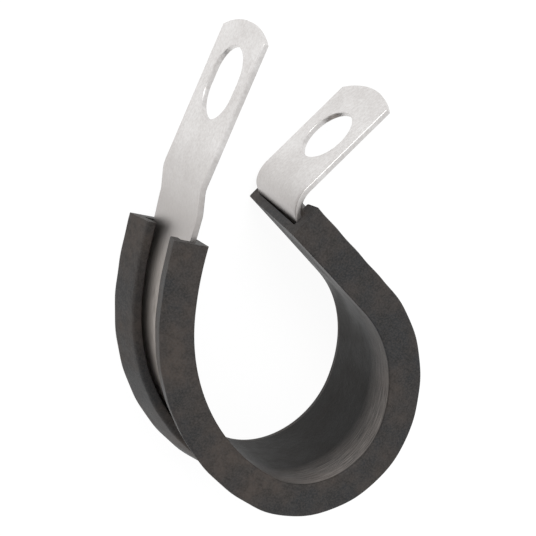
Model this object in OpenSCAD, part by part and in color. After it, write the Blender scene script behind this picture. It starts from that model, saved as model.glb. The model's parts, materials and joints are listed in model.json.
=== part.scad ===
// Open cushioned P clip: a bent steel band inside a rubber channel.
// Millimetres, +Z up.  The clip lies on its side: the loop runs round in the XY plane,
// the width of the band stands along Z and the two tabs point along +Y.

/* [Band] */
// Width of the steel strip
band_width = 12.7; // [8:0.1:25]
// Thickness of the steel strip
band_thickness = 0.8; // [0.4:0.05:2]
// Diameter of the round hole and width of the slotted hole
hole_diameter = 7.8; // [4:0.1:12]
// Overall length of the slotted hole in the long tab
slot_length = 9.6; // [4:0.1:16]
// Radius of the shallow arc that ends each tab
crown_radius = 18; // [8:0.5:60]

/* [Long tab] */
// Flat length from the crown to the first crease
long_tab_length = 21.2; // [12:0.1:40]
// Distance of the slot centre from the crown
slot_from_crown = 7.7; // [5:0.1:20]
// Direction of the long tab, travelling from its tip to the loop
long_tab_heading = -78; // [-110:0.5:-50]
// Turn of the first crease
first_crease_turn = 20; // [0:0.5:45]
// Inside radius of both creases
crease_radius = 3; // [1:0.1:8]
// Flat between the two creases
crease_flat = 1.6; // [0.2:0.1:8]
// Turn back of the second crease
second_crease_turn = 9; // [0:0.5:45]
// Flat from the second crease to the rubber
long_tab_neck = 0.8; // [0.1:0.1:6]

/* [Loop] */
// Radius of the pad face on the gentle upper run
upper_radius = 45.7; // [10:0.1:120]
// Sweep of the gentle upper run
upper_sweep = 14.5; // [5:0.5:60]
// Radius of the pad face along the bottom
bottom_radius = 26.9; // [10:0.1:80]
// Sweep of the bottom
bottom_sweep = 59; // [20:0.5:120]
// Radius of the pad face round the tight side
side_radius = 10.7; // [5:0.1:40]
// Sweep of the tight side
side_sweep = 111; // [60:0.5:170]
// Radius of the pad face coming back over the top
return_radius = 17.3; // [8:0.1:60]
// Sweep of the return
return_sweep = 52.5; // [10:0.5:90]
// Straight run to the open end
return_flat = 16.8; // [4:0.1:40]

/* [Short tab] */
// Distance from the end of the rubber to the bend
bend_lead = 0.1; // [0:0.05:4]
// Turn of the sharp bend
bend_turn = 93.5; // [60:0.5:120]
// Inside radius of the sharp bend
bend_radius = 1.8; // [0.8:0.1:6]
// Flat length from the bend to the crown
short_tab_length = 17.8; // [10:0.1:40]
// Distance of the round hole centre from the crown
hole_from_crown = 8.3; // [5:0.1:20]

/* [Cushion] */
// Full width of the rubber channel
cushion_width = 16; // [10:0.1:30]
// Full depth of the rubber channel
cushion_depth = 4.8; // [3:0.1:10]
// Thickness of the pad under the band
pad_thickness = 1.1; // [0.5:0.05:3]
// Thickness of a lip where it leaves its wall
lip_root = 1.5; // [0.5:0.05:3]
// Thickness of a lip at its tip
lip_tip = 1.05; // [0.4:0.05:3]
// Reach of the lower lip from the outside of its wall
lower_lip_reach = 5.4; // [2:0.1:7]
// Reach of the upper lip from the outside of its wall
upper_lip_reach = 2.9; // [2:0.1:7]
// Inward lean of the lower lip at its tip
lower_lip_lean = 0.9; // [0:0.05:2]
// Inward lean of the upper lip at its tip
upper_lip_lean = 0.55; // [0:0.05:2]
// Corner radius of the rubber
rubber_corner = 0.45; // [0.1:0.05:1]
// Corner radius of the lip tips
tip_corner = 0.35; // [0.1:0.05:0.6]

/* [Fit] */
// Gap between the rubber and each face it holds
fit_gap = 0.05; // [0.02:0.01:0.3]
// Middle of the footprint, taken from the start of the rubber
footprint_middle = [18.2, 1.78]; // [-50:0.01:50]

/* [Hidden] */
steel = [0.78, 0.77, 0.76];
rubber = [0.16, 0.155, 0.15];
$fa = 4;
$fs = 0.4;
round_steps = 2;                                   // flats in each rounded corner
bend_step = 4;                                     // largest turn between two stations of a bend
cut_over = 1;                                      // how far a cutter runs past a face
groove_low = (cushion_width - band_width) / 2;     // height of the lower edge of the band
wall = groove_low - fit_gap;                       // thickness of each rubber wall
band_in = pad_thickness + fit_gap;                 // band face on the pad side
band_out = band_in + band_thickness;               // band face on the lip side
bend_reference = bend_radius + band_out;           // bend radius carried to the pad face
crease_left = crease_radius - band_in;             // first crease radius at the pad face
crease_right = crease_radius + band_out;           // second crease radius at the pad face

// One row per run: [length or radius, turn].  A positive turn bends to the left.
long_side = [
    [long_tab_length, 0],
    [crease_left, first_crease_turn],
    [crease_flat, 0],
    [crease_right, -second_crease_turn],
    [long_tab_neck, 0]
];
loop_side = [
    [upper_radius, upper_sweep],
    [bottom_radius, bottom_sweep],
    [side_radius, side_sweep],
    [return_radius, return_sweep],
    [return_flat, 0]
];
short_side = [
    [bend_lead, 0],
    [bend_reference, -bend_turn],
    [short_tab_length, 0]
];
runs = concat(long_side, loop_side, short_side);
loop_first = len(long_side);
loop_last = loop_first + len(loop_side) - 1;
run_last = len(runs) - 1;

// ---- Where each run starts -------------------------------------------------------------
// Travel direction and outward direction (to the right of travel) for a heading.
function ahead(h) = [cos(h), sin(h)];
function outward(h) = [sin(h), -cos(h)];

// Displacement over the share k of a run that starts with heading h.
function step_over(run, h, k) =
    run[1] == 0 ? run[0] * k * ahead(h)
    : sign(run[1]) * run[0] * (outward(h + run[1] * k) - outward(h));

function heading(i) = i == 0 ? long_tab_heading : heading(i - 1) + runs[i - 1][1];
function place(i) = i == 0 ? [0, 0] : place(i - 1) + step_over(runs[i - 1], heading(i - 1), 1);

// The footprint is centred on the origin.
function start_of(i) = place(i) - place(loop_first) - footprint_middle;

// ---- Rounded outlines ------------------------------------------------------------------
function unit(v) = v / norm(v);
function wrap(a) = a > 180 ? a - 360 : a < -180 ? a + 360 : a;

// Points that round the corner b, between neighbours a and c, with radius r.
function corner(a, b, c, r) =
    let (u = unit(a - b), v = unit(c - b), half = acos(u * v) / 2,
         middle = b + unit(u + v) * r / sin(half),
         from = b + u * r / tan(half) - middle,
         to = b + v * r / tan(half) - middle,
         first = atan2(from.y, from.x),
         turn = wrap(atan2(to.y, to.x) - first))
    [for (k = [0 : round_steps])
        middle + r * [cos(first + turn * k / round_steps), sin(first + turn * k / round_steps)]];

// Outline with each vertex [x, y, radius] rounded; radius 0 leaves it sharp.
function rounded(points) =
    let (n = len(points), at = [for (p = points) [p.x, p.y]])
    [for (i = [0 : n - 1])
        each points[i].z == 0 ? [at[i]]
            : corner(at[(i + n - 1) % n], at[i], at[(i + 1) % n], points[i].z)];

// ---- Stations along the runs -------------------------------------------------------------
// Number of steps in one run; a flat needs only its two ends.
function steps_in(run) = run[1] == 0 ? 1 : ceil(abs(run[1]) / bend_step);

// Point at the share k of run i, moved outward by off.
function along(i, k, off) =
    start_of(i) + step_over(runs[i], heading(i), k) + off * outward(heading(i) + runs[i][1] * k);

// Line of points over runs first to last at the distance off from the pad face.
function line_at(first, last, off) = [
    for (i = [first : last]) let (n = steps_in(runs[i]))
        for (k = [0 : i == last ? n : n - 1]) along(i, k / n, off)
];

function reversed(list) = [for (k = [len(list) - 1 : -1 : 0]) list[k]];

// ---- Rubber section ----------------------------------------------------------------------
// Corners as [distance outward from the pad face, height, radius], anticlockwise.
function cushion_section() = rounded([
    [0, 0, rubber_corner],
    [cushion_depth, 0, rubber_corner],
    [cushion_depth - lower_lip_lean, lower_lip_reach, tip_corner],
    [cushion_depth - lower_lip_lean - lip_tip, lower_lip_reach, tip_corner],
    [cushion_depth - lip_root, wall, 0],
    [pad_thickness, wall, 0],
    [pad_thickness, cushion_width - wall, 0],
    [cushion_depth - lip_root, cushion_width - wall, 0],
    [cushion_depth - upper_lip_lean - lip_tip, cushion_width - upper_lip_reach, tip_corner],
    [cushion_depth - upper_lip_lean, cushion_width - upper_lip_reach, tip_corner],
    [cushion_depth, cushion_width, rubber_corner],
    [0, cushion_width, rubber_corner]
]);

// Closed solid swept over runs first to last: one line of points for each corner of the section.
module sweep(first, last, section) {
    corners = len(section);
    lines = [for (c = section) [for (p = line_at(first, last, c.x)) [p.x, p.y, c.y]]];
    stations = len(lines[0]);
    polyhedron(
        points = [for (line = lines) each line],
        faces = concat(
            [[for (c = [corners - 1 : -1 : 0]) c * stations]],
            [[for (c = [0 : corners - 1]) (c + 1) * stations - 1]],
            [for (c = [0 : corners - 1], k = [0 : stations - 2])
                let (here = c * stations + k, there = (c + 1) % corners * stations + k)
                [here, there, there + 1, here + 1]]
        )
    );
}

// ---- Tab details --------------------------------------------------------------------------
// Moves to a tab on run i: origin at its crown, x towards the loop, y through the band.
// end_of picks the far end of the run as the crown.
module at_crown(i, end_of) {
    h = heading(i);
    crown = end_of ? start_of(i + 1) : start_of(i);
    translate([crown.x, crown.y, cushion_width / 2]) rotate(end_of ? h + 180 : h)
        translate([0, (end_of ? 1 : -1) * (band_in + band_out) / 2, 0]) children();
}

// Cylinder through the band, along y.
module through(d) {
    rotate([90, 0, 0]) cylinder(d = d, h = band_thickness + 2 * cut_over, center = true);
}

// Slotted hole, or a round one where its length equals its width.
module tab_hole(at, length) {
    travel = (length - hole_diameter) / 2;
    translate([at, 0, 0])
        if (travel > 0) {
            for (side = [-1, 1]) translate([side * travel, 0, 0]) through(hole_diameter);
            cube([2 * travel, band_thickness + 2 * cut_over, hole_diameter], center = true);
        } else through(hole_diameter);
}

// What the shallow end arc takes off the square corners of a tab.
module crown_trim() {
    rise = crown_radius - sqrt(crown_radius * crown_radius - band_width * band_width / 4);
    difference() {
        translate([rise / 2, 0, 0])
            cube([rise + cut_over, band_thickness + cut_over, band_width + cut_over], center = true);
        translate([crown_radius, 0, 0]) rotate([90, 0, 0])
            cylinder(r = crown_radius, h = band_thickness + 2 * cut_over, center = true, $fa = 1);
    }
}

// ---- Parts ---------------------------------------------------------------------------------
module band() {
    color(steel) difference() {
        translate([0, 0, groove_low]) linear_extrude(band_width)
            polygon(concat(line_at(0, run_last, band_in), reversed(line_at(0, run_last, band_out))));
        at_crown(0, false) tab_hole(slot_from_crown, slot_length);
        at_crown(run_last, true) tab_hole(hole_from_crown, hole_diameter);
        at_crown(0, false) crown_trim();
        at_crown(run_last, true) crown_trim();
    }
}

module cushion() {
    color(rubber) sweep(loop_first, loop_last, cushion_section());
}

band();
cushion();
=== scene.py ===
# %% [markdown]
# # An open cushioned P clip
# The clip is one bent steel band in a rubber channel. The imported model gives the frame: where
# each piece lies and how big it is. This lesson rebuilds both pieces as smooth surfaces worked
# out with numpy, gives them a finish, and sets a camera and soft light around them.

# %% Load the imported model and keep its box
import json
import math
import bmesh
import bpy
import numpy as np
from mathutils import Matrix, Vector


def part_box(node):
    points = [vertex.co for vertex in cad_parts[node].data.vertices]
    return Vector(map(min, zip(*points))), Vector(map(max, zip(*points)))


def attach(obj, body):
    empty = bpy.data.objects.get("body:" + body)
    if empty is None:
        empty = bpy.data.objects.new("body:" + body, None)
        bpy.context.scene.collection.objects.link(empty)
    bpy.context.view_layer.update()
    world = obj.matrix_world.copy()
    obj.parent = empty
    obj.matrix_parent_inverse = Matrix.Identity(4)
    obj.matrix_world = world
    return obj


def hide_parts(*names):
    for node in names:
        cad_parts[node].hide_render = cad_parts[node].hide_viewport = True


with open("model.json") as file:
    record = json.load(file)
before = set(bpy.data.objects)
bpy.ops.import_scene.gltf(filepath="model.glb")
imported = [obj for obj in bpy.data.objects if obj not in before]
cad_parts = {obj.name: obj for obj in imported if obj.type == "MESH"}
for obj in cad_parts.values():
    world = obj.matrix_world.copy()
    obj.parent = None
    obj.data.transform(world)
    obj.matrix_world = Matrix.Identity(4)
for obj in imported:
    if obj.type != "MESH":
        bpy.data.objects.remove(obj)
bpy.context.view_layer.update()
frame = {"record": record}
MM = 0.001
band_box = np.array([list(corner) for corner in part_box("band")]) / MM
cushion_box = np.array([list(corner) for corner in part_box("cushion")]) / MM
bore = next(m for m in frame["record"]["mounts"] if m["kind"] == "bore")
print("band box, mm", band_box.round(2).tolist())
print("cushion box, mm", cushion_box.round(2).tolist())

# %% [markdown]
# ## The path
# Steel and rubber follow one line, the face of the pad. It is a chain of flats and arcs that
# meet without a kink, as a bending tool leaves them. One row per run says how long it is, or
# its radius, and how far it turns, in millimetres and degrees. Left turns are positive.
# A chain of arcs was chosen over a spline because each number is one that a toolmaker sets.

# %% The runs of the path
PAD = 1.1
PLAY = 0.05
STRIP = bore["dims"]["length_mm"]
HOLE_RADIUS = bore["dims"]["r_mm"]
STRIP_IN = PAD + PLAY
STRIP_OUT = STRIP_IN + STRIP
STRIP_MIDDLE = (STRIP_IN + STRIP_OUT) / 2
CREASE = 3.0
TAB_HEADING = -78.0
LONG_SIDE = [(20.6, 0), (CREASE - STRIP_IN, 19), (2.4, 0), (CREASE + STRIP_OUT, -11), (2.9, 0)]
LOOP = [(45.8, 11.4), (27.2, 60.7), (10.4, 106), (16.9, 60.3), (14.3, 0)]
SHORT_SIDE = [(3.6 + STRIP_OUT, -91.5), (16.0, 0)]
RUNS = LONG_SIDE + LOOP + SHORT_SIDE
OVERHANG = 2.0


def ahead(heading):
    """Travel direction: the cosine and the sine of the heading."""
    return np.stack([np.cos(heading), np.sin(heading)], axis=-1)


def outward(heading):
    """Direction away from the loop: the sine and minus the cosine of the heading."""
    return np.stack([np.sin(heading), -np.cos(heading)], axis=-1)


def chain(runs, heading):
    """Start distance, start point, start heading and curvature of each run.
    An arc's length is its radius times its turn, its curvature is one over the radius."""
    rows, at, place = [], 0.0, np.zeros(2)
    for size, turn in runs:
        swing = math.radians(turn)
        curve = math.copysign(1 / size, turn) if turn else 0.0
        rows.append((at, *place, heading, curve))
        place = place + (size * ahead(heading) if not turn
                         else (outward(heading + swing) - outward(heading)) / curve)
        at += abs(swing) * size if turn else size
        heading += swing
    return np.array(rows), at


CHAIN, PATH_LENGTH = chain(RUNS, math.radians(TAB_HEADING))
RUBBER_START = CHAIN[len(LONG_SIDE), 0]
BEND_START = CHAIN[len(LONG_SIDE) + len(LOOP), 0]
RUBBER_END = BEND_START + OVERHANG


def travel(distance, straight_on=False):
    """Point and heading at each distance along the pad face. On a run with curvature k the
    heading grows by k times the way gone, and the point moves by the change of the outward
    direction over k. With straight_on, the last flat of the loop runs on past its end."""
    distance = np.asarray(distance, float)
    run = np.clip(np.searchsorted(CHAIN[:, 0], distance, side="right") - 1, 0, len(CHAIN) - 1)
    if straight_on:
        run = np.minimum(run, len(LONG_SIDE) + len(LOOP) - 1)
    at, x, y, heading, curve = CHAIN[run].T
    gone = distance - at
    turned = heading + curve * gone
    safe = np.where(curve == 0, 1.0, curve)
    arc = (outward(turned) - outward(heading)) / safe[..., None]
    flat = gone[..., None] * ahead(heading)
    return np.stack([x, y], -1) + np.where(curve[..., None] == 0, flat, arc), turned


print("path, mm", round(PATH_LENGTH, 1), "rubber", round(RUBBER_START, 1), "to", round(RUBBER_END, 1))

# %% [markdown]
# ## Seating the path in the frame
# The path starts at its own zero, so it is moved until the box of its steel and rubber has
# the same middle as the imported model. Nothing is typed in twice, and nothing is nudged by eye.

# %% Seat the path
CUSHION_WIDTH = cushion_box[1, 2] - cushion_box[0, 2]
CUSHION_DEPTH = 4.8
BAND_LOW, BAND_HIGH = band_box[:, 2]
BAND_MIDDLE = (BAND_LOW + BAND_HIGH) / 2
BAND_WIDTH = BAND_HIGH - BAND_LOW


def offset_line(start, end, off, straight_on=False, count=1200):
    """The path between two distances, moved outward by off."""
    point, heading = travel(np.linspace(start, end, count), straight_on)
    return point + off * outward(heading)


outline = np.vstack([offset_line(0, PATH_LENGTH, STRIP_IN), offset_line(0, PATH_LENGTH, STRIP_OUT),
                     offset_line(RUBBER_START, RUBBER_END, 0, True),
                     offset_line(RUBBER_START, RUBBER_END, CUSHION_DEPTH, True)])
cad_middle = (np.minimum(band_box[0], cushion_box[0]) + np.maximum(band_box[1], cushion_box[1]))[:2] / 2
SEAT = cad_middle - (outline.min(0) + outline.max(0)) / 2
print("seat, mm", SEAT.round(3).tolist())

# %% [markdown]
# ## Mesh helpers
# A grid of points becomes faces by index sums: each cell joins a point to its neighbours. All
# index tables are made as whole arrays, so a fine surface costs no more lines than a coarse one.

# %% Helpers that turn grids of points into meshes
def grid_faces(rows, columns, close_rows=False, close_columns=False):
    """Quads of a grid: each joins a point, its right neighbour, the one above that and the one above."""
    r = np.arange(rows if close_rows else rows - 1)
    c = np.arange(columns if close_columns else columns - 1)
    r, c = np.meshgrid(r, c, indexing="ij")
    r2, c2 = (r + 1) % rows, (c + 1) % columns
    quads = [r * columns + c, r * columns + c2, r2 * columns + c2, r2 * columns + c]
    return np.stack(quads, -1).reshape(-1, 4)


def make_piece(name, points, faces, uv=None):
    """A smooth-shaded object at the origin from points in millimetres and a list of faces.
    uv holds one pair for each point, and each face corner takes its point's pair."""
    mesh = bpy.data.meshes.new(name)
    mesh.from_pydata((np.asarray(points) * MM).tolist(), [], [list(map(int, f)) for f in faces])
    mesh.validate()
    mesh.polygons.foreach_set("use_smooth", np.ones(len(mesh.polygons), bool))
    if uv is not None:
        corner = np.empty(len(mesh.loops), np.int64)
        mesh.loops.foreach_get("vertex_index", corner)
        layer = mesh.uv_layers.new(name="along")
        layer.data.foreach_set("uv", np.asarray(uv, float)[corner].ravel())
    piece = bpy.data.objects.new(name, mesh)
    bpy.context.scene.collection.objects.link(piece)
    print(name, len(mesh.vertices), "points", len(mesh.polygons), "faces")
    return piece


# %% [markdown]
# ## The rubber channel
# The real channel is squeezed through a die, so it has one outline all along: a pad, two walls
# and two lips that lean in over the steel. The die leaves small round corners. The outline is
# written as a few corners with a radius each. The lower lip reaches far over the band, the
# upper one is short. A carried outline was chosen over a solid with holes cut in it, because
# every face then follows the loop and shades cleanly.

# %% Outline of the channel
WALL = BAND_LOW - PLAY
LIP_ROOT = 1.5
LOW_REACH, LOW_LEAN, LOW_TIP = 4.6, 0.9, 1.4
HIGH_REACH, HIGH_LEAN, HIGH_TIP = 2.9, 0.55, 1.05
SECTION = np.array([
    (0, 0, .22), (CUSHION_DEPTH, 0, .25),
    (CUSHION_DEPTH - LOW_LEAN, LOW_REACH, .35), (CUSHION_DEPTH - LOW_LEAN - LOW_TIP, LOW_REACH, .3),
    (CUSHION_DEPTH - LIP_ROOT, WALL, .25), (PAD, WALL, .15),
    (PAD, CUSHION_WIDTH - WALL, .15), (CUSHION_DEPTH - LIP_ROOT, CUSHION_WIDTH - WALL, .25),
    (CUSHION_DEPTH - HIGH_LEAN - HIGH_TIP, CUSHION_WIDTH - HIGH_REACH, .3),
    (CUSHION_DEPTH - HIGH_LEAN, CUSHION_WIDTH - HIGH_REACH, .35),
    (CUSHION_DEPTH, CUSHION_WIDTH, .25), (0, CUSHION_WIDTH, .22)])


def round_outline(corners, flats=5, spacing=0.5):
    """Closed outline whose corners are arcs. Each arc touches both sides at radius over the
    tangent of half the corner's angle, and long sides get points a spacing apart."""
    at, radius = corners[:, :2], corners[:, 2:]
    back = np.roll(at, 1, 0) - at
    on = np.roll(at, -1, 0) - at
    back, on = (v / np.linalg.norm(v, axis=1, keepdims=True) for v in (back, on))
    half = np.arccos((back * on).sum(1, keepdims=True)) / 2
    centre = at + (back + on) / np.linalg.norm(back + on, axis=1, keepdims=True) * radius / np.sin(half)
    first = at + back * radius / np.tan(half) - centre
    last = at + on * radius / np.tan(half) - centre
    start = np.arctan2(first[:, 1], first[:, 0])
    swing = (np.arctan2(last[:, 1], last[:, 0]) - start + np.pi) % (2 * np.pi) - np.pi
    angle = start[:, None] + swing[:, None] * np.linspace(0, 1, flats + 1)
    arcs = centre[:, None] + radius[:, None] * np.stack([np.cos(angle), np.sin(angle)], -1)
    sides = []
    for here, there in zip(arcs, np.roll(arcs, -1, 0)):
        steps = max(1, int(np.linalg.norm(there[0] - here[-1]) / spacing))
        share = np.linspace(0, 1, steps + 1)[1:-1, None]
        sides.append(np.vstack([here, here[-1] * (1 - share) + there[0] * share]))
    return np.vstack(sides)


profile = round_outline(SECTION)
ROUND_WAY = np.concatenate([[0], np.cumsum(np.linalg.norm(np.diff(profile, axis=0), axis=1))])
INNER_FROM = ROUND_WAY[-1] - CUSHION_WIDTH + 1
print("outline of the channel", len(profile), "points")

# %% [markdown]
# ## Carrying the outline along the loop
# A sprung-open clip isn't quite true: its far wall is pulled out of line with the near one. The
# lean below does that. It grows with the distance from the near wall, and it changes slowly
# along the loop. Faint waves keep the lips from looking machined.

# %% The rubber surface
LEAN_SWING, LEAN_SIDE = 0.85, -0.25
LEAN_BACK, LEAN_RISE = -1.0, 1.9
LEAN_FROM, LEAN_TO = 0.38, 0.80
LIP_WAVE = 0.03
STATION = 0.35
FIRST_INNER = 0.15


def smooth(x, low, high):
    """Smooth step: with t the share of the way from low to high, three t squared less two t cubed."""
    t = np.clip((x - low) / (high - low), 0, 1)
    return t * t * (3 - 2 * t)


def lean(distance, height):
    """Shift of a point in the plane of the loop. Across the tabs it is a cosine that comes round
    once along the rubber, and along the tabs a smooth step. Both shrink evenly to nothing at
    the near wall."""
    share = np.clip((distance - RUBBER_START) / (RUBBER_END - RUBBER_START), 0, 1)
    across = LEAN_SIDE + LEAN_SWING * np.cos(2 * np.pi * share)
    along = LEAN_BACK + LEAN_RISE * smooth(share, LEAN_FROM, LEAN_TO)
    return np.stack([across, along], -1) * (1 - height / CUSHION_WIDTH)[..., None]


def rubber_surface(distance, section):
    """Outline carried along the path: the point is the path plus the outline's first number
    outward, and its second number is the height. The lean comes on top."""
    point, heading = travel(distance, True)
    off, height = section.T
    wave = LIP_WAVE * np.sin(1.3 * distance)[:, None] * (off / CUSHION_DEPTH) ** 2
    plan = point[:, None] + (off - wave)[..., None] * outward(heading)[:, None]
    plan = plan + lean(distance[:, None], np.broadcast_to(height, plan.shape[:2])) + SEAT
    return np.concatenate([plan, np.broadcast_to(height[None, :, None], plan.shape[:2] + (1,))], -1)


def make_cushion():
    """The outline on even stations, with closer ones by the cut ends, where a flat face closes
    the channel."""
    rim = np.array([0.0, 0.03, 0.08])
    count = int((RUBBER_END - RUBBER_START) / STATION)
    inner = np.linspace(RUBBER_START + FIRST_INNER, RUBBER_END - FIRST_INNER, count)
    distance = np.concatenate([RUBBER_START + rim, inner, RUBBER_END - rim[::-1]])
    points = rubber_surface(distance, profile)
    rows, columns = points.shape[:2]
    walls = grid_faces(rows, columns, close_columns=True)[:, ::-1]
    caps = [list(range(columns)), list(range(rows * columns - 1, (rows - 1) * columns - 1, -1))]
    along = np.repeat(distance[:, None], columns, 1)
    uv = np.stack([along, np.repeat(ROUND_WAY[None], rows, 0)], -1).reshape(-1, 2) / 10
    piece = make_piece("rubber_channel", points.reshape(-1, 3), list(walls) + caps, uv)
    flat = np.ones(len(piece.data.polygons), bool)
    flat[-2:] = False
    piece.data.polygons.foreach_set("use_smooth", flat)
    return piece


cushion = make_cushion()

# %% [markdown]
# ## The steel band
# The band is sheared from strip, punched, and bent. As a surface it is a sheet with two holes:
# round each hole the sheet is a ring of rays from the hole's edge to the tab's edge, and
# between the tabs it is a plain grid. The flat sheet is then laid on the path. Solidify gives
# it the gauge of the strip, and Bevel breaks the sheared edges, which makes them catch light.

# %% The sheet of the band
SLOT_HALF = (9.8 - 2 * HOLE_RADIUS) / 2
SLOT_AT = 8.3
HOLE_AT = PATH_LENGTH - 8.6
CROWN_RADIUS = 13.0
TAB_CUT = 5.6
ACROSS = 15
TWIST_LENGTH = 3.0
SIDE_RAYS, CROWN_RAYS = 22, 25
ROW = 0.4
LEAST_ROW = 0.03
BEND_ROWS, BEND_SPAN = 60, 9
EDGE_BREAK = 0.13


def hole_edge(angle, half_slot):
    """Distance from the centre to the edge of a slot with round ends, along each angle: the
    straight side at radius over sine where it is met first, and otherwise the end circle."""
    c, s = np.abs(np.cos(angle)), np.abs(np.sin(angle))
    side = HOLE_RADIUS / np.maximum(s, 1e-9)
    end = half_slot * c + np.sqrt(np.maximum(HOLE_RADIUS ** 2 - (half_slot * s) ** 2, 0))
    return np.where(side * c <= half_slot, side, end)


def tab_patch(centre, half_slot, crown, way, rings=7):
    """Sheet round one hole. The outer edge runs along the cut, one side, the crown arc and the
    other side; each outer point is joined to the hole's edge by a straight ray. way is 1 where
    the loop lies ahead of the hole and -1 where it lies behind."""
    half = BAND_WIDTH / 2
    cut = centre + way * (half_slot + TAB_CUT)
    rise = CROWN_RADIUS - math.sqrt(CROWN_RADIUS ** 2 - half ** 2)
    across = np.linspace(-half, half, ACROSS)
    corner_at = crown + way * rise
    side = np.linspace(cut, corner_at, SIDE_RAYS)
    arc = np.linspace(half, -half, CROWN_RAYS)
    crown_line = crown + way * (CROWN_RADIUS - np.sqrt(CROWN_RADIUS ** 2 - arc ** 2))
    outer = np.vstack([np.stack([np.full(ACROSS, cut), across], -1)[:-1],
                       np.stack([side, np.full(SIDE_RAYS, half)], -1)[:-1],
                       np.stack([crown_line, arc], -1)[:-1],
                       np.stack([side[::-1], np.full(SIDE_RAYS, -half)], -1)[:-1]])
    ray = outer - [centre, 0]
    angle = np.arctan2(ray[:, 1], ray[:, 0])
    inner = np.array([centre, 0]) + hole_edge(angle, half_slot)[:, None] * ahead(angle)
    share = np.linspace(0, 1, rings)[:, None, None] ** 1.2
    return inner * (1 - share) + outer * share, cut


def make_band():
    """Three patches of the flat sheet, joined, laid on the path and given their thickness."""
    left, left_cut = tab_patch(SLOT_AT, SLOT_HALF, 0.0, 1)
    right, right_cut = tab_patch(HOLE_AT, 0.0, PATH_LENGTH, -1)
    rows = np.unique(np.concatenate([np.arange(left_cut, right_cut, ROW),
                                     CHAIN[(CHAIN[:, 0] > left_cut) & (CHAIN[:, 0] < right_cut), 0],
                                     np.linspace(BEND_START, BEND_START + BEND_SPAN, BEND_ROWS),
                                     [right_cut]]).round(4))
    rows = rows[np.concatenate([[True], np.diff(rows) > LEAST_ROW])]
    rows[0], rows[-1] = left_cut, right_cut
    across = np.linspace(-BAND_WIDTH / 2, BAND_WIDTH / 2, ACROSS)
    middle = np.stack(np.meshgrid(rows, across, indexing="ij"), -1)
    patches = [left, middle, right]
    faces = [grid_faces(*left.shape[:2], close_columns=True)[:, ::-1],
             grid_faces(*middle.shape[:2])[:, ::-1],
             grid_faces(*right.shape[:2], close_columns=True)]
    starts = np.cumsum([0] + [p.shape[0] * p.shape[1] for p in patches])
    sheet = np.vstack([p.reshape(-1, 2) for p in patches])
    faces = np.vstack([f + start for f, start in zip(faces, starts)])
    point, heading = travel(sheet[:, 0])
    height = sheet[:, 1] + BAND_MIDDLE
    held = smooth(sheet[:, 0], RUBBER_START - TWIST_LENGTH, RUBBER_START)
    held = held - smooth(sheet[:, 0], BEND_START, BEND_START + 2 * TWIST_LENGTH)
    plan = point + STRIP_MIDDLE * outward(heading) + SEAT + held[:, None] * lean(sheet[:, 0], height)
    points = np.column_stack([plan, height])
    piece = make_piece("steel_band", points, faces, sheet / 10)
    weld_seams(piece)
    return piece


def weld_seams(piece):
    """Joins points that lie within a hundredth of a millimetre and turns all faces one way."""
    work = bmesh.new()
    work.from_mesh(piece.data)
    bmesh.ops.remove_doubles(work, verts=work.verts, dist=0.01 * MM)
    bmesh.ops.recalc_face_normals(work, faces=work.faces)
    work.to_mesh(piece.data)
    work.free()


band = make_band()
gauge = band.modifiers.new("gauge", "SOLIDIFY")
gauge.thickness = STRIP * MM
gauge.offset = 0
gauge.use_even_offset = True
edge = band.modifiers.new("broken_edge", "BEVEL")
edge.width = EDGE_BREAK * MM
edge.segments = 3
edge.limit_method = "ANGLE"
edge.angle_limit = math.radians(50)
shade = band.modifiers.new("even_shade", "WEIGHTED_NORMAL")
shade.keep_sharp = False

# %% [markdown]
# ## Writing materials as sums
# A material is a set of small sums on patterns. The class below wraps a socket, so that
# `0.3 + 0.1 * grain` adds the Math nodes by itself. Colours are mixed with Mix nodes, because
# a Math node would turn them grey.

# %% A socket that can be added and multiplied
class Wire:
    """One value of a node tree. Plus, minus and times add a Math node."""

    def __init__(self, tree, socket):
        self.tree, self.socket = tree, socket

    def node(self, kind, settings=None, out=0, **values):
        """Adds a node of this kind: its settings first, then values or links of its sockets."""
        made = self.tree.nodes.new(kind)
        for name, value in (settings or {}).items():
            setattr(made, name, value)
        for name, value in values.items():
            key = int(name[1:]) if name[1:].isdigit() else name.replace("_", " ")
            socket = made.inputs[key]
            if isinstance(value, Wire):
                self.tree.links.new(value.socket, socket)
            else:
                socket.default_value = value
        return Wire(self.tree, made.outputs[out])

    def math(self, operation, one, two):
        return self.node("ShaderNodeMath", {"operation": operation}, i0=one, i1=two)

    def __add__(self, other):
        return self.math("ADD", self, other)

    def __mul__(self, other):
        return self.math("MULTIPLY", self, other)

    def __sub__(self, other):
        return self.math("SUBTRACT", self, other)

    __radd__ = __add__
    __rmul__ = __mul__

    def mix(self, low, high):
        """Colour between low and high, this value being the share of high."""
        return self.node("ShaderNodeMix", {"data_type": "RGBA"}, out=2, i0=self, i6=low, i7=high)

    def ramp(self, low, high):
        """0 below low, 1 above high and an even rise between."""
        return self.node("ShaderNodeMapRange", Value=self, From_Min=low, From_Max=high)


def new_material(name):
    """A material, its shader node and a Wire to start patterns from."""
    made = bpy.data.materials.new(name)
    made.use_nodes = True
    tree = made.node_tree
    place = Wire(tree, tree.nodes.new("ShaderNodeTexCoord").outputs["Object"])
    return made, tree.nodes["Principled BSDF"], place


def noise(place, scale, detail=3.0, roughness=0.5):
    """Cloudy pattern between 0 and 1 over a place; scale counts its lumps per metre."""
    return place.node("ShaderNodeTexNoise", Vector=place, Scale=scale, Detail=detail, Roughness=roughness)


def join(shader, **values):
    """Links wires to the shader's sockets, and sets plain values on them."""
    for name, value in values.items():
        socket = shader.inputs[name.replace("_", " ")]
        if isinstance(value, Wire):
            value.tree.links.new(value.socket, socket)
        else:
            socket.default_value = value


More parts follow.
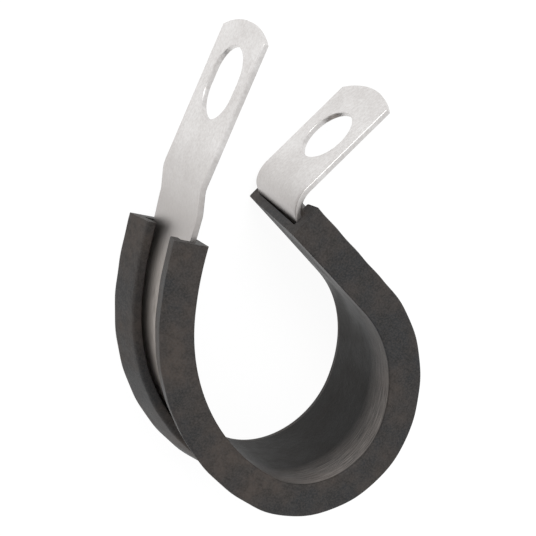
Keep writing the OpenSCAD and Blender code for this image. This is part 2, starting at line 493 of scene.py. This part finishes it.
# %% [markdown]
# ## Satin steel
# The strip is rolled, so its grain runs along it: long faint streaks, and a soft cloudiness of
# the brushed face. The grain reads the sheet's own coordinates, so it turns with every bend.

# %% The steel finish
def make_steel():
    """Warm light grey metal. Streaks are noise stretched along the strip, clouds are slow noise
    and flecks are fine noise; they shift colour, roughness and a shallow bump. Towards the
    rubber the metal is darkened with painted shade and a painted reflection of the dark rubber,
    and between the rubber's two ends, inside the channel, it is darker still with painted shade and
    duller."""
    made, shader, place = new_material("satin_steel")
    along = Wire(place.tree, place.tree.nodes.new("ShaderNodeUVMap").outputs[0])
    way = along.node("ShaderNodeSeparateXYZ", Vector=along)
    start, end = RUBBER_START / 10, RUBBER_END / 10
    # Painted shade and painted reflection of the dark rubber on the steel inside the channel, between the
    # rubber's two ends.
    channel_shade = way.ramp(start - 0.02, start + 0.5) - way.ramp(end - 0.1, end + 0.02)
    # Painted shade and painted reflection of the dark rubber on the steel just outside the rubber's ends.
    rubber_shade = way.ramp(start - 1.2, start - 0.2) - way.ramp(end, end + 0.9)
    long_way = along.node("ShaderNodeMapping", Vector=along, Scale=(0.35, 9.0, 1.0))
    streak = noise(long_way, 14.0, 4.0, 0.6)
    cloud = noise(place, 160.0, 4.0, 0.6)
    fleck = noise(place, 2600.0, 2.0, 0.6)
    tone = (0.3 * streak + 0.35 * cloud + 0.35 * fleck).ramp(0.38, 0.62)
    clean = tone.mix((0.60, 0.575, 0.56, 1), (0.79, 0.775, 0.765, 1))
    # Clean steel with that painted shade mixed in.
    steel_with_rubber_shade = (0.75 * rubber_shade).mix(clean, (0.38, 0.355, 0.34, 1))
    # Streaked dark colour of that painted shade in the channel.
    channel_shade_colour = streak.ramp(0.35, 0.65).mix((0.36, 0.32, 0.29, 1), (0.66, 0.62, 0.59, 1))
    colour = channel_shade.mix(steel_with_rubber_shade, channel_shade_colour)
    bump = place.node("ShaderNodeBump", Height=0.5 * streak + 0.5 * fleck, Strength=0.09, Distance=0.0002)
    join(shader, Base_Color=colour, Metallic=1.0, Roughness=0.30 + 0.12 * cloud + 0.15 * channel_shade, Normal=bump)
    return made


band.data.materials.append(make_steel())
print("steel finish on", band.name)

# %% [markdown]
# ## Moulded rubber
# Rubber of this kind is charcoal with a brownish bloom in patches, fine specks from the mould
# and pale rubs where it was handled, all slow or fine noise on the object's place. Its inner
# face also gets painted shade and a painted highlight, laid out along the loop.

# %% The rubber finish
def make_rubber():
    """Charcoal with a brown bloom where slow noise is high, and pale rubs where stretched noise
    passes a threshold. Fine noise roughens the surface. Away from its upper edge the inner face
    is darkened with painted shade. Near that edge it has a paler strip, a painted highlight
    broken into streaks along its length, brightest over one stretch of the loop."""
    made, shader, place = new_material("charcoal_rubber")
    along = Wire(place.tree, place.tree.nodes.new("ShaderNodeUVMap").outputs[0])
    way = along.node("ShaderNodeSeparateXYZ", Vector=along, out=1)
    inside = way.ramp(INNER_FROM / 10, INNER_FROM / 10 + 0.02)
    edge = inside - way.ramp(INNER_FROM / 10, INNER_FROM / 10 + 0.55)
    run = along.node("ShaderNodeSeparateXYZ", Vector=along)
    start, span = RUBBER_START / 10, (RUBBER_END - RUBBER_START) / 10
    # Stretch of the loop that gets the brightest painted highlight.
    highlight_stretch = (run.ramp(start + 0.40 * span, start + 0.52 * span)
              - run.ramp(start + 0.68 * span, start + 0.82 * span))
    # Streaks, stretched along the loop, that break up the painted highlight on the inner face.
    streak_space = along.node("ShaderNodeMapping", Vector=along, Scale=(0.5, 14.0, 1.0))
    highlight_streaks = noise(streak_space, 6.0, 5.0, 0.65).ramp(0.35, 0.75)
    bloom = noise(place, 105.0, 6.0, 0.62).ramp(0.42, 0.60)
    speck = noise(place, 3500.0, 3.0, 0.7)
    pore = noise(place, 900.0, 5.0, 0.7).ramp(0.42, 0.62)
    slant = place.node("ShaderNodeMapping", Vector=place, Rotation=(0.3, 0.5, 0.9), Scale=(1.0, 5.0, 2.0))
    rub = noise(slant, 190.0, 5.0, 0.65).ramp(0.62, 0.74)
    base = bloom.mix((0.023, 0.024, 0.026, 1), (0.056, 0.045, 0.039, 1))
    base = (0.30 * rub).mix(base, (0.085, 0.080, 0.076, 1))
    base = (0.55 * pore).mix(base, (0.014, 0.013, 0.012, 1))
    base = (0.45 * speck.ramp(0.42, 0.62)).mix(base, (0.070, 0.063, 0.058, 1))
    # Painted shade: the inner face away from its upper edge is darkened.
    base = (0.85 * (inside - edge)).mix(base, (0.008, 0.0075, 0.007, 1))
    # Painted highlight: a paler streaked strip near the inner face's upper edge.
    base = (0.75 * (edge * highlight_streaks)).mix(base, (0.115, 0.098, 0.088, 1))
    # Brighter painted highlight over that stretch of the loop.
    base = (edge * (highlight_streaks * highlight_stretch)).mix(base, (0.32, 0.29, 0.27, 1))
    bump = place.node("ShaderNodeBump", Height=0.6 * speck + 0.4 * pore, Strength=0.22, Distance=0.0002)
    join(shader, Base_Color=base, Roughness=0.47 + 0.14 * bloom, Normal=bump)
    shader.inputs["Specular IOR Level"].default_value = 0.22
    return made


cushion.data.materials.append(make_rubber())
print("rubber finish on", cushion.name)

# %% [markdown]
# ## Handing the pieces to the frame
# Each new piece stands for its imported node and rides on the one body that the clip has.

# %% Ride and replace
for piece, node, slot in ((band, "band", "steel"), (cushion, "cushion", "rubber")):
    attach(piece, "root")
    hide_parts(node)

# %% [markdown]
# ## Floor, light and camera
# A pale floor that glows a little keeps shadows faint, as on a light table. One broad lamp
# from the upper left gives the rubber its soft sheen, and the sky is plain and pale.

# %% The floor
FLOOR_DROP = 0.1 * MM


def make_floor(half=1.2):
    """A square that glows a little and is white."""
    corners = np.array([(-half, -half, 0), (half, -half, 0), (half, half, 0), (-half, half, 0)])
    floor = make_piece("floor", corners / MM, [(0, 1, 2, 3)])
    made = bpy.data.materials.new("light_table")
    made.use_nodes = True
    shader = made.node_tree.nodes["Principled BSDF"]
    join(shader, Base_Color=(0.12, 0.12, 0.12, 1), Roughness=1.0,
         Emission_Color=(1, 1, 1, 1), Emission_Strength=0.92)
    shader.inputs["Specular IOR Level"].default_value = 0.0
    floor.data.materials.append(made)
    floor.location.z = -FLOOR_DROP


make_floor()


# %% The light
def make_lamp(name, place, aim, size, power):
    """A square lamp at a place, in metres, turned so that its face looks at the aim."""
    lamp = bpy.data.lights.new(name, "AREA")
    lamp.shape, lamp.size, lamp.energy = "SQUARE", size, power
    holder = bpy.data.objects.new(name, lamp)
    holder.location = place
    holder.rotation_euler = (Vector(aim) - Vector(place)).to_track_quat("-Z", "Y").to_euler()
    bpy.context.scene.collection.objects.link(holder)


world = bpy.data.worlds.new("pale_sky")
world.use_nodes = True
world.node_tree.nodes["Background"].inputs["Color"].default_value = (1, 1, 1, 1)
world.node_tree.nodes["Background"].inputs["Strength"].default_value = 0.85
bpy.context.scene.world = world
bpy.context.scene.view_settings.view_transform = "Standard"
make_lamp("broad_lamp", (-0.25, 0.25, 0.45), (0, 0, 0), 0.3, 1.2)

# %% [markdown]
# ## The camera
# The view is from above the long tab's side, steep, and rolled so that the tabs stand upright
# in the picture. A long lens keeps the two walls of the channel nearly parallel.

# %% Camera
TARGET = Vector((-0.69, -2.90, 8.0)) * MM
DISTANCE = 233.5 * MM
HEADING, DOWNWARD, ROLL = (math.radians(a) for a in (-5.17, 58.16, 128.66))


def make_camera():
    """Looks along a heading, tilted downward, from a distance, then rolled about its own sight
    line: right becomes cosine times right plus sine times up."""
    reach = math.cos(DOWNWARD)
    sight = Vector((reach * math.cos(HEADING), reach * math.sin(HEADING), -math.sin(DOWNWARD)))
    level = sight.cross(Vector((0, 0, 1))).normalized()
    rise = level.cross(sight)
    right = math.cos(ROLL) * level + math.sin(ROLL) * rise
    up = right.cross(sight)
    camera = bpy.data.cameras.new("camera")
    camera.lens, camera.sensor_width = 118, 36
    camera.shift_x, camera.shift_y = -0.003, 0.054
    camera.clip_start = 0.01
    holder = bpy.data.objects.new("camera", camera)
    turn = Matrix((right, up, -sight)).transposed().to_4x4()
    holder.matrix_world = Matrix.Translation(TARGET - sight * DISTANCE) @ turn
    bpy.context.scene.collection.objects.link(holder)
    bpy.context.scene.camera = holder


make_camera()

# %% Update the scene
bpy.context.view_layer.update()
